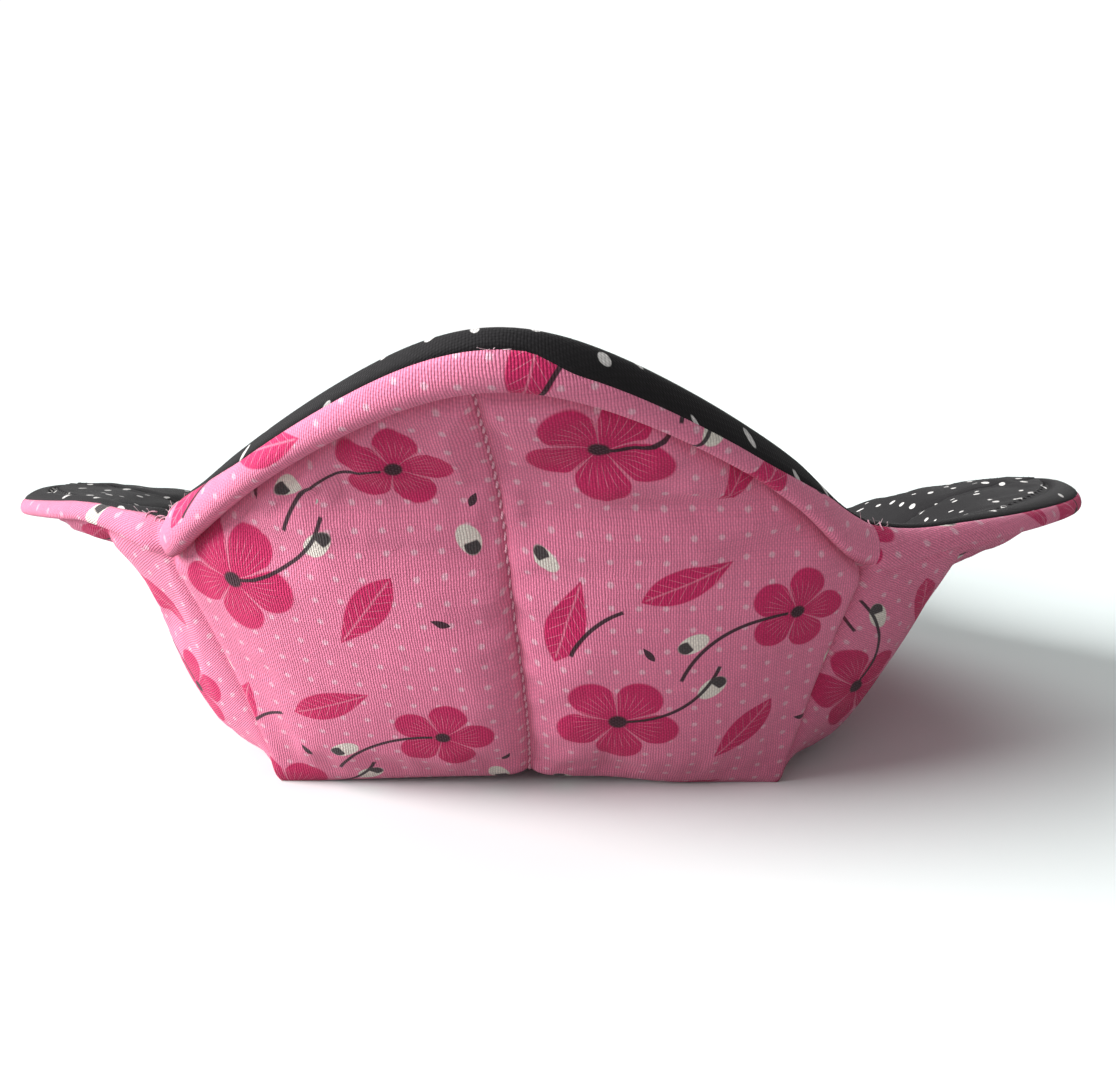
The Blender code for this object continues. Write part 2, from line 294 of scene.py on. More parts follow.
def lobe_face(lobe, s, reach):
    """Points of the outer face: s from -1 to 1 across the lobe, and the cloth up from the base edge."""
    middle, low, high, low_power, high_power, along_x = LOBES[lobe]
    held = np.minimum(reach, JUNCTION_REACH)
    out_index, across_index = (1, 2) if along_x else (2, 1)
    on_high = s >= 0
    high_out, low_out = np.interp(held, high[0], high[out_index]), np.interp(held, low[0], low[out_index])
    high_up, low_up = np.interp(held, high[0], high[3]), np.interp(held, low[0], low[3])
    seam_out, seam_up = np.where(on_high, high_out, low_out), np.where(on_high, high_up, low_up)
    low_across = np.interp(held, low[0], low[across_index])
    high_across = np.interp(held, high[0], high[across_index])
    bend = np.abs(s) ** np.where(on_high, high_power, low_power)
    across = s * (BASE_HALF + (low_across + high_across + s * (high_across - low_across)) / 2)
    out = BASE_HALF + np.interp(reach, middle[0], middle[1])
    out = out + (seam_out - np.interp(held, middle[0], middle[1])) * bend
    up = np.interp(reach, middle[0], middle[2])
    up = up + (seam_up - np.interp(held, middle[0], middle[2])) * bend
    return settled(np.stack([*turned(lobe, across, out), up], axis=-1))


def settled(points):
    """Where the cloth has come to rest: the base turned, one edge lifted and the flaps sagging."""
    x, y, z = points[..., 0], points[..., 1], points[..., 2]
    low = 1 - smooth_step(0.0, SETTLE_HEIGHT, z)
    turn = np.radians(BASE_TWIST) * low
    rest_x = x * np.cos(turn) - y * np.sin(turn) + BASE_SHIFT[0] * low
    rest_y = x * np.sin(turn) + y * np.cos(turn) + BASE_SHIFT[1] * low
    on_right = x > 0
    pairs = (FLAP_START, FLAP_SAG, FLAP_TILT, FLAP_SPREAD, SIDE_BULGE)
    start, sag, tilt, spread, bulge = (np.where(on_right, *pair) for pair in pairs)
    out = np.clip((np.abs(x) - start) / (FLAP_END - start), 0.0, 1.0)
    near = np.clip((np.abs(x) - TILT_START) / SETTLE_FADE, 0.0, 1.0)
    bulge = bulge * np.clip((np.abs(x) - BULGE_START) / SETTLE_FADE, 0.0, 1.0)
    bulge = bulge * np.maximum(1 - (y / BULGE_WIDTH) ** 2, 0.0)
    bulge = bulge * np.exp(-((z - BULGE_HEIGHT) / BULGE_RISE) ** 2)
    edge = smooth_step(*EDGE_LIFT_START, x) * (1 - smooth_step(*EDGE_LIFT_END, x))
    edge = edge * smooth_step(*EDGE_LIFT_DEPTH, -y) * low
    rest_x = rest_x + np.sign(x) * (spread * out + bulge)
    wander = SEAM_WANDER * np.sin(np.pi * np.clip(z / WANDER_HEIGHT, 0.0, 1.0))
    wander = wander * np.maximum(1 - (x / WANDER_WIDTH) ** 2, 0.0)
    rest_x = rest_x + wander * (y < 0)
    rest_z = z - sag * out - tilt * near * np.clip(y / TILT_WIDTH, -1.0, 1.0) + EDGE_LIFT * edge
    return np.stack([rest_x, rest_y, rest_z], axis=-1)


def spaced(*stretches):
    """Places along a line, from (start, end, steps) stretches that join up."""
    runs = [np.linspace(start, end, steps, endpoint=False) for start, end, steps in stretches]
    return np.concatenate([*runs, [stretches[-1][1]]])


class Wall:
    """The outer face as one welded grid: the base, closed loops up to the crease, and the rim's edge."""

    def __init__(self, columns, rows):
        self.columns, self.rows = columns, rows
        self.last = len(columns) - 1
        self.around = 4 * self.last
        lobe_of = np.repeat(np.arange(4), self.last)
        s_of = np.tile(columns[:-1], 4)
        x, y = np.meshgrid(BASE_HALF * columns, BASE_HALF * columns, indexing="ij")
        base = settled(np.stack([x, y, np.zeros_like(x)], axis=-1).reshape(-1, 3))
        slant = -INWARD_LEAN / BASE_HALF
        base_lean = np.stack([slant * x, slant * y, np.ones_like(x)], axis=-1)
        self.base_count = len(base)
        rim_reaches = rim_round(lobe_of, s_of)
        self.from_junction = (1 - np.abs(s_of)) * JUNCTION_HALF_WIDTH
        pinch = BEAD_PINCH * (1 - smooth_step(0.0, PINCH_LENGTH, self.from_junction))
        crease = rim_reaches - BEAD_DEPTH + pinch
        flap = (lobe_of == RIGHT) | (lobe_of == LEFT)
        points, leans, sewing = [base], [base_lean.reshape(-1, 3)], [self.base_sewing(x, y)]
        # Painted shade in the folds along the base's quilting lines
        nearest = np.minimum(np.abs(x), np.abs(y)).reshape(-1)
        lines = [SEAM_SHADE * np.exp(-nearest / SEAM_SHADE_WIDTH)]
        for share in rows[1:]:
            points.append(self.around_face(lobe_of, s_of, crease * share))
            leans.append(self.around_lean(lobe_of, s_of))
            sewing.append(self.lobe_sewing(s_of, crease * share, crease, flap))
            lines.append(self.lobe_fold_shade(s_of, crease * share, crease, flap))
        self.points = np.concatenate(points)
        self.leans = np.concatenate(leans)
        self.dips = np.concatenate(sewing)
        # For each point, how much painted shade the folds along the seams give it
        self.lines = np.concatenate(lines)
        self.lobe_of, self.s_of, self.crease = lobe_of, s_of, crease
        loop = self.base_count + np.arange(self.around)
        self.loops = [self.base_edge()] + [loop + k * self.around for k in range(len(rows) - 1)]
        self.quads, self.flat = self.body_quads()
        self.inward = self.inward_steps()
        self.swell = np.zeros(len(self.points))
        loose = smooth_step(0.0, LOOSE_FROM_DART, self.from_junction)
        loose = [loose * smooth_step(0.0, LOOSE_FROM_BASE, crease * share) for share in rows[1:]]
        self.looseness = np.concatenate([np.zeros(self.base_count), *loose])
        self.looseness *= smooth_step(0.0, LOOSE_FROM_TABLE, self.points[:, 2])
        rim = self.around_face(lobe_of, s_of, rim_reaches)
        top = self.loops[-1]
        self.rim_inward = self.inward[top]
        rimward = rim - self.points[top]
        self.bead_height = np.linalg.norm(rimward, axis=1)
        self.rimward = rimward / self.bead_height[:, None]
        self.bead_centres = rim - self.rimward * BEAD_RADIUS + self.rim_inward * WALL / 2
        self.soften_corners()

    def soften_corners(self):
        """The rim turns each corner in a curve. At the left front one it keeps a tight fold."""
        after = np.where(self.s_of < 0, self.lobe_of, (self.lobe_of + 1) % 4)
        away = np.where(self.s_of < 0, self.from_junction, -self.from_junction)
        for name in ("bead_centres", "rimward", "rim_inward"):
            values = getattr(self, name).copy()
            for corner, share in enumerate(CORNER_CURVE):
                near = np.flatnonzero(after == corner)
                near = near[np.argsort(away[near])]
                at = away[near]
                weights = np.exp(-((at[:, None] - at) / CORNER_SPAN) ** 2 / 2) * np.gradient(at)
                mean = weights @ getattr(self, name)[near] / weights.sum(axis=1)[:, None]
                share = share * np.exp(-((at / CORNER_REACH) ** 2))[:, None]
                values[near] += share * (mean - values[near])
            setattr(self, name, values)

    def around_face(self, lobe_of, s_of, reach):
        ring = np.empty((len(s_of), 3))
        for lobe in range(4):
            mine = lobe_of == lobe
            ring[mine] = lobe_face(lobe, s_of[mine], reach[mine])
        return ring

    def around_lean(self, lobe_of, s_of):
        lean = np.ones((len(s_of), 3))
        for lobe in range(4):
            mine = lobe_of == lobe
            lean[mine, 0], lean[mine, 1] = turned(
                lobe, -INWARD_LEAN * s_of[mine], np.full(mine.sum(), -INWARD_LEAN))
        return lean

    def base_sewing(self, x, y):
        depth, width = QUILT_DIP
        return (depth * np.maximum(np.exp(-np.abs(x) / width), np.exp(-np.abs(y) / width))).reshape(-1)

    def lobe_sewing(self, s, reach, crease, flap):
        """How far the quilting, the darts and the topstitching pull each face in."""
        edge = half_width(reach)
        quilt, dart = np.abs(s) * edge, (1 - np.abs(s)) * edge
        dart_dip = np.where(flap, FLAP_DART_DIP[0] * np.exp(-dart / FLAP_DART_DIP[1]),
                            DART_DIP[0] * np.exp(-dart / DART_DIP[1]))
        pulls = [
            QUILT_DIP[0] * np.exp(-quilt / QUILT_DIP[1]),
            dart_dip * smooth_step(0.0, DART_START, reach),
            np.where(flap, FLAP_THINNING[0] * np.exp(-(crease - reach) / FLAP_THINNING[1]),
                     CREASE_DIP[0] * np.exp(-(crease - reach) / CREASE_DIP[1]))]
        pucker = PUCKER[0] * np.sin(2 * math.pi * reach / PUCKER_LENGTH) * np.exp(-quilt / PUCKER[1])
        return np.maximum.reduce(pulls) + pucker

    def lobe_fold_shade(self, s, reach, crease, flap):
        """Painted shade: how dark the cloth is coloured in the folds along its seams."""
        edge = half_width(reach)
        quilt, dart = np.abs(s) * edge, (1 - np.abs(s)) * edge
        quilting, darts = np.exp(-quilt / SEAM_SHADE_WIDTH), DART_SHADE * np.exp(-dart / SEAM_SHADE_WIDTH)
        rim = np.where(flap, 0.0, np.exp(-(crease - reach) / SEAM_SHADE_WIDTH))
        return SEAM_SHADE * np.maximum.reduce([quilting, darts, rim])

    def base_edge(self):
        """The base's edge as a loop, in the order of the lobes."""
        last, side = self.last, self.last + 1
        steps = np.arange(last)
        return np.concatenate([steps * side, last * side + steps, (last - steps) * side + last, last - steps])

    def flat_place(self, lobe, s, reach):
        """X and Y on the flat cloth."""
        return np.stack(turned(lobe, s * half_width(reach), BASE_HALF + reach), axis=-1)

    def ring_quads(self, low, high, low_reach, high_reach):
        """Quads between two loops, with each corner's place on the flat cloth."""
        quads, flat = [], []
        for lobe in range(4):
            first = lobe * self.last + np.arange(self.last)
            after = (first + 1) % self.around
            quads.append(np.stack([low[first], low[after], high[after], high[first]], axis=-1))
            s, next_s = self.columns[:-1], self.columns[1:]
            corners = ((s, low_reach, first), (next_s, low_reach, after), (next_s, high_reach, after),
                       (s, high_reach, first))
            flat.append(np.stack([self.flat_place(lobe, at, reach[i]) for at, reach, i in corners], axis=1))
        return np.concatenate(quads), np.concatenate(flat)

    def body_quads(self):
        side = self.last + 1
        i, j = np.meshgrid(np.arange(self.last), np.arange(self.last), indexing="ij")
        corners = ((i, j), (i, j + 1), (i + 1, j + 1), (i + 1, j))
        quads = [np.stack([a * side + b for a, b in corners], axis=-1).reshape(-1, 4)]
        places = [np.stack([self.columns[a], self.columns[b]], axis=-1) * BASE_HALF for a, b in corners]
        flat = [np.stack(places, axis=2).reshape(-1, 4, 2)]
        for k in range(len(self.rows) - 1):
            ring, ring_flat = self.ring_quads(
                self.loops[k], self.loops[k + 1], self.crease * self.rows[k], self.crease * self.rows[k + 1])
            quads.append(ring)
            flat.append(ring_flat)
        return np.concatenate(quads), np.concatenate(flat)

    def inward_steps(self):
        """For each point, the way through the wall that takes one unit of its thickness."""
        normals = np.zeros_like(self.points)
        a, b, c, d = (self.points[self.quads[:, corner]] for corner in range(4))
        across = np.cross(c - a, d - b)
        for corner in range(4):
            np.add.at(normals, self.quads[:, corner], across)
        normals /= np.linalg.norm(normals, axis=1)[:, None]
        return self.leans / np.maximum(-np.sum(self.leans * normals, axis=1), LEAST_LEAN)[:, None]


def on_grid(values, rows, columns, new_rows, new_columns):
    """A grid of values read at other rows and columns."""
    part = np.stack([np.interp(new_columns, columns, row) for row in values])
    return np.stack([np.interp(new_rows, rows, column) for column in part.T], axis=-1)


def carried(values, source, target):
    """Values on one wall's points, read at the points of another."""
    side = source.last + 1
    base = values[:source.base_count].reshape(side, side)
    base = on_grid(base, source.columns, source.columns, target.columns, target.columns)
    loops = np.stack([values[loop] for loop in source.loops])
    parts = []
    for lobe in range(4):
        ids = (lobe * source.last + np.arange(side)) % source.around
        parts.append(on_grid(
            loops[:, ids], source.rows, source.columns, target.rows[1:], target.columns[:-1]))
    return np.concatenate([base.ravel(), np.concatenate(parts, axis=1).ravel()])


def sewn_points(wall):
    """Points of the face that stitches hold: the base, the quilting lines, the darts and the crease."""
    held = np.zeros(len(wall.points), dtype=bool)
    held[:wall.base_count] = True
    middle = wall.last // 2
    for loop in wall.loops:
        for lobe in range(4):
            held[loop[lobe * wall.last]] = True
            held[loop[lobe * wall.last + middle]] = True
    held[wall.loops[-1]] = True
    return held


def billow(wall):
    """How far each point of the face swells out between its seams, from a cloth simulation."""
    mesh = bpy.data.meshes.new("billow")
    mesh.from_pydata(wall.points.tolist(), [], wall.quads.tolist())
    sheet = bpy.data.objects.new("billow", mesh)
    bpy.context.collection.objects.link(sheet)
    sewn = sheet.vertex_groups.new(name="sewn")
    sewn.add(np.flatnonzero(sewn_points(wall)).tolist(), 1.0, "REPLACE")
    cloth = sheet.modifiers.new("cloth", "CLOTH")
    settings = cloth.settings
    settings.quality = 6
    settings.mass = CLOTH_WEIGHT
    settings.tension_stiffness = CLOTH_STRETCH
    settings.compression_stiffness = CLOTH_STRETCH
    settings.shear_stiffness = CLOTH_SHEAR
    settings.bending_stiffness = CLOTH_BEND
    settings.shrink_min = -CLOTH_SPARE
    settings.use_pressure = True
    settings.uniform_pressure_force = BILLOW_PRESSURE
    settings.vertex_group_mass = "sewn"
    settings.effector_weights.gravity = 0.0
    cloth.collision_settings.use_collision = False
    cloth.point_cache.frame_start = 1
    cloth.point_cache.frame_end = BILLOW_FRAMES
    scene = bpy.context.scene
    for frame_number in range(1, BILLOW_FRAMES + 1):
        scene.frame_set(frame_number)
    shaped = sheet.evaluated_get(bpy.context.evaluated_depsgraph_get())
    moved = np.empty(len(wall.points) * 3)
    shaped.data.vertices.foreach_get("co", moved)
    outward = -wall.inward / np.linalg.norm(wall.inward, axis=1)[:, None]
    swell = np.sum((moved.reshape(-1, 3) - wall.points) * outward, axis=1)
    scene.frame_set(1)
    bpy.data.objects.remove(sheet)
    bpy.data.meshes.remove(mesh)
    return np.clip(swell, -BILLOW_MOST / 2, BILLOW_MOST) * wall.looseness


def seam_angles(wall):
    """The angle of the rim's seam on the bead, for each column round the rim."""
    s, front = wall.s_of, wall.lobe_of == FRONT
    rolled = smooth_step(*ROLL_START, s) * (1 - smooth_step(*ROLL_END, s))
    ends = smooth_step(*CORNER_TURN, np.abs(s))
    angle = SEAM_ANGLE + (ROLLED_ANGLE - SEAM_ANGLE) * rolled + (FLAP_SEAM_ANGLE - SEAM_ANGLE) * ends
    return np.where(front, angle, FLAP_SEAM_ANGLE)


def bead_sizes(wall):
    """Radius of the bead upwards, outwards and inwards, for each column round the rim."""
    s, front, away = wall.s_of, wall.lobe_of == FRONT, wall.from_junction
    left_corner = front & (s < 0) | (wall.lobe_of == LEFT) & (s > 0)
    cleft = 1 - np.where(left_corner, *CLEFTS) * np.exp(-((away / CLEFT_LENGTH) ** 2))
    knob = KNOB * np.exp(-(((away - KNOB_PLACE) / KNOB_LENGTH) ** 2)) * (front & (s < 0))
    slim = np.where(front, 1.0, 1 - (1 - FLAP_BEAD) * smooth_step(0.0, FLAP_BEAD_START, away))
    radius = BEAD_RADIUS * (cleft + knob) * slim
    open_rim = smooth_step(0.0, OPEN_RIM_START, away)
    puff = 1 + BEAD_PUFF * open_rim * front
    return radius, radius * puff, radius * (1 - (1 - BEAD_BACK) * open_rim)


def bead_rings(wall, inset, shares, groove, inner):
    """Loops of points over the bead, from the crease to the seam, this far inside its surface."""
    seam = seam_angles(wall)
    radius, reach_out, reach_in = bead_sizes(wall)
    foot = np.degrees(np.arcsin(np.clip(1 - (wall.bead_height - BEAD_FOOT_SPACE) / BEAD_RADIUS, -0.85, 0.2)))
    start = 180.0 - foot if inner else foot
    rings = []
    for share, sink in zip(shares, groove):
        angle = np.radians(start + (seam - start) * share)
        sideways = np.where(angle < math.pi / 2, reach_out, reach_in)
        outward, up = (sideways - inset - sink) * np.cos(angle), (radius - inset - sink) * np.sin(angle)
        rings.append(wall.bead_centres - wall.rim_inward * outward[:, None] + wall.rimward * up[:, None])
    return rings


def build_layer(name, wall, near, far, material):
    """One layer of the wall. near and far are its faces: the depth at each place, and rings over the bead."""
    count = len(wall.points)
    vertices, quads, flat, edges, lines = [], [], [], [], []
    for side, (depths, rings) in enumerate((near, far)):
        offset = side * (count + len(near[1]) * wall.around)
        body = wall.points + wall.inward * depths[:, None]
        vertices += [body, *rings]
        # Painted shade: darker in the crease at the foot of the front bead and along the rim's seam
        front = (wall.lobe_of == FRONT) * SEAM_SHADE
        lines += [wall.lines] + [front * max(0.0, 1 - number / 2.5) for number in range(len(rings) - 1)]
        lines.append(np.full(wall.around, SEAM_SHADE))
        loop, reach = wall.loops[-1], wall.crease
        previous = body[loop]
        faces, places = [wall.quads], [wall.flat]
        for number, ring in enumerate(rings):
            ids = count + number * wall.around + np.arange(wall.around)
            next_reach = reach + np.linalg.norm(ring - previous, axis=1)
            ring_faces, ring_flat = wall.ring_quads(loop, ids, reach, next_reach)
            faces.append(ring_faces)
            places.append(ring_flat)
            loop, reach, previous = ids, next_reach, ring
        faces, places = np.concatenate(faces) + offset, np.concatenate(places)
        quads.append(faces if side == 0 else faces[:, ::-1])
        flat.append(places if side == 0 else places[:, ::-1])
        edges.append((loop + offset, reach))
    (near_edge, near_reach), (far_edge, far_reach) = edges
    closing, closing_flat = wall.ring_quads(near_edge, far_edge, near_reach, far_reach)
    quads.append(closing)
    flat.append(closing_flat)
    mesh = bpy.data.meshes.new(name)
    mesh.from_pydata(np.concatenate(vertices), [], np.concatenate(quads).tolist())
    # Painted shade in the folds along the seams, kept on each point for the cloth materials
    fold = mesh.attributes.new("painted_fold_shade", "FLOAT", "POINT")
    fold.data.foreach_set("value", np.concatenate(lines))
    cloth_map = mesh.uv_layers.new(name="cloth")
    cloth_map.data.foreach_set("uv", (np.concatenate(flat).reshape(-1, 2) / FLAT_SIDE + 0.5).ravel())
    return finish_piece(name, mesh, material)


def finish_piece(name, mesh, material):
    mesh.materials.append(material)
    mesh.shade_smooth()
    piece = bpy.data.objects.new(name, mesh)
    bpy.context.collection.objects.link(piece)
    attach(piece, "root")
    return piece


def cloth_depths(wall, from_outside):
    """Depths of a cloth's two faces from the outside in: it is pulled in wherever it is sewn."""
    if from_outside:
        return wall.dips - wall.swell, wall.dips - wall.swell + CLOTH
    swell = wall.swell * LINING_BILLOW
    return WALL - wall.dips + swell - CLOTH, WALL - wall.dips + swell


def build_layers(fine, coarse, materials):
    """The four layers, from the outside in."""
    shares = np.concatenate([np.linspace(0.0, 1.0, BEAD_STEPS), [1.0]])
    groove = np.concatenate([np.zeros(BEAD_STEPS - 1), [SEAM_GROOVE * 0.25, SEAM_GROOVE]])
    core_inset = CLOTH + GAP
    core_shares, core_groove = np.linspace(0.0, 0.9, CORE_STEPS), np.zeros(CORE_STEPS)
    outer_core = bead_rings(coarse, core_inset, core_shares, core_groove, False)
    lining_core = bead_rings(coarse, core_inset, core_shares, core_groove, True)
    half_gap = GAP / 2

    def flattened(rings, side):
        """The face of a wadding layer inside the bead, along the middle of the wall."""
        flat = []
        for ring in rings:
            up = np.sum((ring - coarse.bead_centres) * coarse.rimward, axis=1)[:, None]
            flat.append(coarse.bead_centres + coarse.rimward * up - coarse.rim_inward * half_gap * side)
        return flat

    shown, hidden = cloth_depths(fine, True)
    outer = build_layer(
        "outer_cloth", fine,
        (shown, bead_rings(fine, 0.0, shares, groove, False)),
        (hidden, bead_rings(fine, CLOTH, shares, groove, False)),
        materials["outer_cloth"])
    hidden, shown = cloth_depths(fine, False)
    lining = build_layer(
        "lining_cloth", fine,
        (shown, bead_rings(fine, 0.0, shares, groove, True)),
        (hidden, bead_rings(fine, CLOTH, shares, groove, True)),
        materials["lining_cloth"])
    lining.data.flip_normals()
    outer_wadding = build_layer(
        "outer_wadding", coarse,
        (coarse.dips - coarse.swell + CLOTH + GAP, outer_core),
        (np.full(len(coarse.points), WALL / 2 - half_gap), flattened(outer_core, 1)),
        materials["wadding"])
    lining_wadding = build_layer(
        "lining_wadding", coarse,
        (np.full(len(coarse.points), WALL / 2 + half_gap), flattened(lining_core, -1)),
        (WALL - coarse.dips + coarse.swell * LINING_BILLOW - CLOTH - GAP, lining_core),
        materials["wadding"])
    return outer, lining, outer_wadding, lining_wadding


def stitches(name, path, normals, closed, material, lift=THREAD_RADIUS):
    """A row of machine stitches along a path: short raised threads that dive in at both ends."""
    path, normals = np.asarray(path), np.asarray(normals)
    if closed:
        path, normals = np.concatenate([path, path[:1]]), np.concatenate([normals, normals[:1]])
    along = np.concatenate([[0.0], np.cumsum(np.linalg.norm(np.diff(path, axis=0), axis=1))])
    count = int(along[-1] / STITCH_LENGTH)
    pitch = along[-1] / count
    steps, sides = 7, 6
    share = np.linspace(0.0, 1.0, steps)
    vertices, quads = [], []
    for number in range(count):
        at = (number + share * (1 - STITCH_GAP / pitch)) * pitch
        place = np.stack([np.interp(at, along, path[:, axis]) for axis in range(3)], axis=-1)
        normal = np.stack([np.interp(at, along, normals[:, axis]) for axis in range(3)], axis=-1)
        normal /= np.linalg.norm(normal, axis=1)[:, None]
        direction = np.gradient(place, axis=0)
        direction /= np.linalg.norm(direction, axis=1)[:, None]
        side = np.cross(direction, normal)
        rise = THREAD_RADIUS * (2.2 * np.sin(np.pi * share) ** 0.6 - 1.6) + lift
        place = place + normal * rise[:, None] + side * ((share - 0.5) * STITCH_SLANT)[:, None]
        first = len(vertices) * sides * steps
        ring = [place + THREAD_RADIUS * (math.cos(a) * side + math.sin(a) * normal)
                for a in np.linspace(0, 2 * math.pi, sides, endpoint=False)]
        vertices.append(np.stack(ring, axis=1).reshape(-1, 3))
        for step in range(steps - 1):
            for k in range(sides):
                a, b = first + step * sides + k, first + step * sides + (k + 1) % sides
                quads.append((a, b, b + sides, a + sides))
        quads.append(tuple(first + k for k in reversed(range(sides))))
        quads.append(tuple(first + (steps - 1) * sides + k for k in range(sides)))
    mesh = bpy.data.meshes.new(name)
    mesh.from_pydata(np.concatenate(vertices).tolist(), [], quads)
    return finish_piece(name, mesh, material)


def quilting_path(wall, lobe):
    """Grid places along a quilting line, from the middle of one lobe over the base to the opposite one."""
    middle, side = wall.last // 2, wall.last + 1
    rows = range(len(wall.rows) - 1, 0, -1)
    near = [wall.loops[k][lobe * wall.last + middle] for k in rows]
    steps = np.arange(side)
    across = middle * side + steps if lobe == FRONT else (wall.last - steps) * side + middle
    far = [wall.loops[k][(lobe + 2) * wall.last + middle] for k in reversed(rows)]
    return np.concatenate([near, across, far]).astype(int)


def build_sewing(wall, materials):
    """The quilting lines and the topstitching, on both faces."""
    made = {}
    unit = wall.inward / np.linalg.norm(wall.inward, axis=1)[:, None]
    for face, outside in (("outer", True), ("lining", False)):
        thread = materials[f"{face}_thread"]
        depth = cloth_depths(wall, outside)[0 if outside else 1]
        surface = wall.points + wall.inward * depth[:, None]
        outward = -unit if outside else unit
        for lobe, run in ((FRONT, "front_to_back"), (RIGHT, "side_to_side")):
            places = quilting_path(wall, lobe)
            made[f"{face}_quilting_{run}"] = stitches(
                f"{face}_quilting_stitches_{run}", surface[places], outward[places], False, thread)
        top = wall.loops[-1]
        made[f"{face}_topstitch"] = stitches(
            f"{face}_rim_stitches", surface[top], outward[top], True, thread, lift=-1.5 * THREAD_RADIUS)
    return made


def thin_tubes(name, paths, radius, material):
    """Thin round threads along short paths, closed at both ends."""
    sides = 5
    turns = np.linspace(0, 2 * math.pi, sides, endpoint=False)
    vertices, quads = [], []
    for path in paths:
        first = len(vertices)
        direction = np.gradient(path, axis=0)
        direction /= np.linalg.norm(direction, axis=1)[:, None]
        side = np.cross(direction, (0.31, 0.27, 0.91))
        side /= np.linalg.norm(side, axis=1)[:, None]
        up = np.cross(side, direction)
        for place, across, over in zip(path, side, up):
            vertices += [place + radius * (math.cos(a) * across + math.sin(a) * over) for a in turns]
        for step in range(len(path) - 1):
            for k in range(sides):
                a, b = first + step * sides + k, first + step * sides + (k + 1) % sides
                quads.append((a, b, b + sides, a + sides))
        last = first + (len(path) - 1) * sides
        quads.append(tuple(first + k for k in reversed(range(sides))))
        quads.append(tuple(last + k for k in range(sides)))
    mesh = bpy.data.meshes.new(name)
    mesh.from_pydata([tuple(v) for v in vertices], [], quads)
    return finish_piece(name, mesh, material)


def whip_stitches(wall, material):
    """Hand stitches over the rim where the lobes meet at the front."""
    seam = bead_rings(wall, 0.0, (1.0,), (0.0,), False)[0]
    outside = bead_rings(wall, 0.0, (0.86,), (0.0,), False)[0]
    inside = bead_rings(wall, 0.0, (0.86,), (0.0,), True)[0]
    paths = []
    for corner, steps in ((0, (-4, -2, -1, 1, 2, 4)), (wall.last, (-1, 2))):
        for step in steps:
            at, after = (corner + step) % wall.around, (corner + step + 1) % wall.around
            top = seam[at] + (seam[at] - wall.bead_centres[at]) * 0.04
            paths.append(curve_through(outside[at], top, inside[after]))
    return thin_tubes("corner_whip_stitches", paths, WHIP_RADIUS, material)


def curve_through(start, middle, end):
    """A short arc of seven points."""
    share = np.linspace(0.0, 1.0, 7)[:, None]
    bend = 2 * middle - (start + end) / 2
    return start * (1 - share) ** 2 + bend * 2 * share * (1 - share) + end * share ** 2


def lint(wall, material):
    """Loose fibres of thread and cut cloth that cling to the rim's seam."""
    chance = np.random.default_rng(LINT_SEED)
    seam = bead_rings(wall, 0.0, (1.0,), (0.0,), False)[0]
    paths = []
    for column, count in LINT_PLACES:
        for _ in range(count):
            at = int(column * wall.last + chance.integers(-4, 5)) % wall.around
            out = (seam[at] - wall.bead_centres[at]) / BEAD_RADIUS
            along = seam[(at + 1) % wall.around] - seam[at]
            along /= np.linalg.norm(along)
            length = chance.uniform(0.0010, 0.0026)
            lean = along * chance.uniform(-0.8, 0.8) + out * chance.uniform(0.2, 0.8)
            curl = out * chance.uniform(-0.5, 0.3) + along * chance.uniform(-0.5, 0.5)
            start = seam[at] - out * 0.0002
            end = start + lean * length
            paths.append(curve_through(start, (start + end) / 2 + curl * length / 4, end))
    return thin_tubes("rim_lint", paths, LINT_RADIUS, material)


class Field:
    """A number that changes over a surface, so that a pattern's nodes are written like its formula."""

    def __init__(self, tree, socket):
        self.tree, self.socket = tree, socket

    def join(self, operation, *others):
        node = self.tree.nodes.new("ShaderNodeMath")
        node.operation = operation
        for slot, value in zip(node.inputs, (self, *others)):
            if isinstance(value, Field):
                self.tree.links.new(value.socket, slot)
            else:
                slot.default_value = value
        return Field(self.tree, node.outputs[0])

    def __add__(self, other):
        return self.join("ADD", other)

    def __sub__(self, other):
        return self.join("SUBTRACT", other)

    def __rsub__(self, other):
        return self.join("MULTIPLY", -1.0).join("ADD", other)

    def __mul__(self, other):
        return self.join("MULTIPLY", other)

    def __truediv__(self, other):
        return self.join("DIVIDE", other)

    def __pow__(self, other):
        return self.join("POWER", other)

    def __abs__(self):
        return self.join("ABSOLUTE")

    def sin(self):
        return self.join("SINE")

    def cos(self):
        return self.join("COSINE")

    def floor(self):
        return self.join("FLOOR")

    def most(self, other):
        return self.join("MAXIMUM", other)

    def length(self, other):
        return (self * self + other * other).join("SQRT")

    def below(self, edge, blur):
        """1 below the edge and 0 above it, blurred over a short stretch round it."""
        node = self.tree.nodes.new("ShaderNodeMapRange")
        node.interpolation_type = "SMOOTHSTEP"
        (self - edge).feed(node.inputs["Value"])
        node.inputs["From Min"].default_value = -blur
        node.inputs["From Max"].default_value = blur
        node.inputs["To Min"].default_value = 1.0
        node.inputs["To Max"].default_value = 0.0
        return Field(self.tree, node.outputs["Result"])

    def feed(self, socket):
        self.tree.links.new(self.socket, socket)


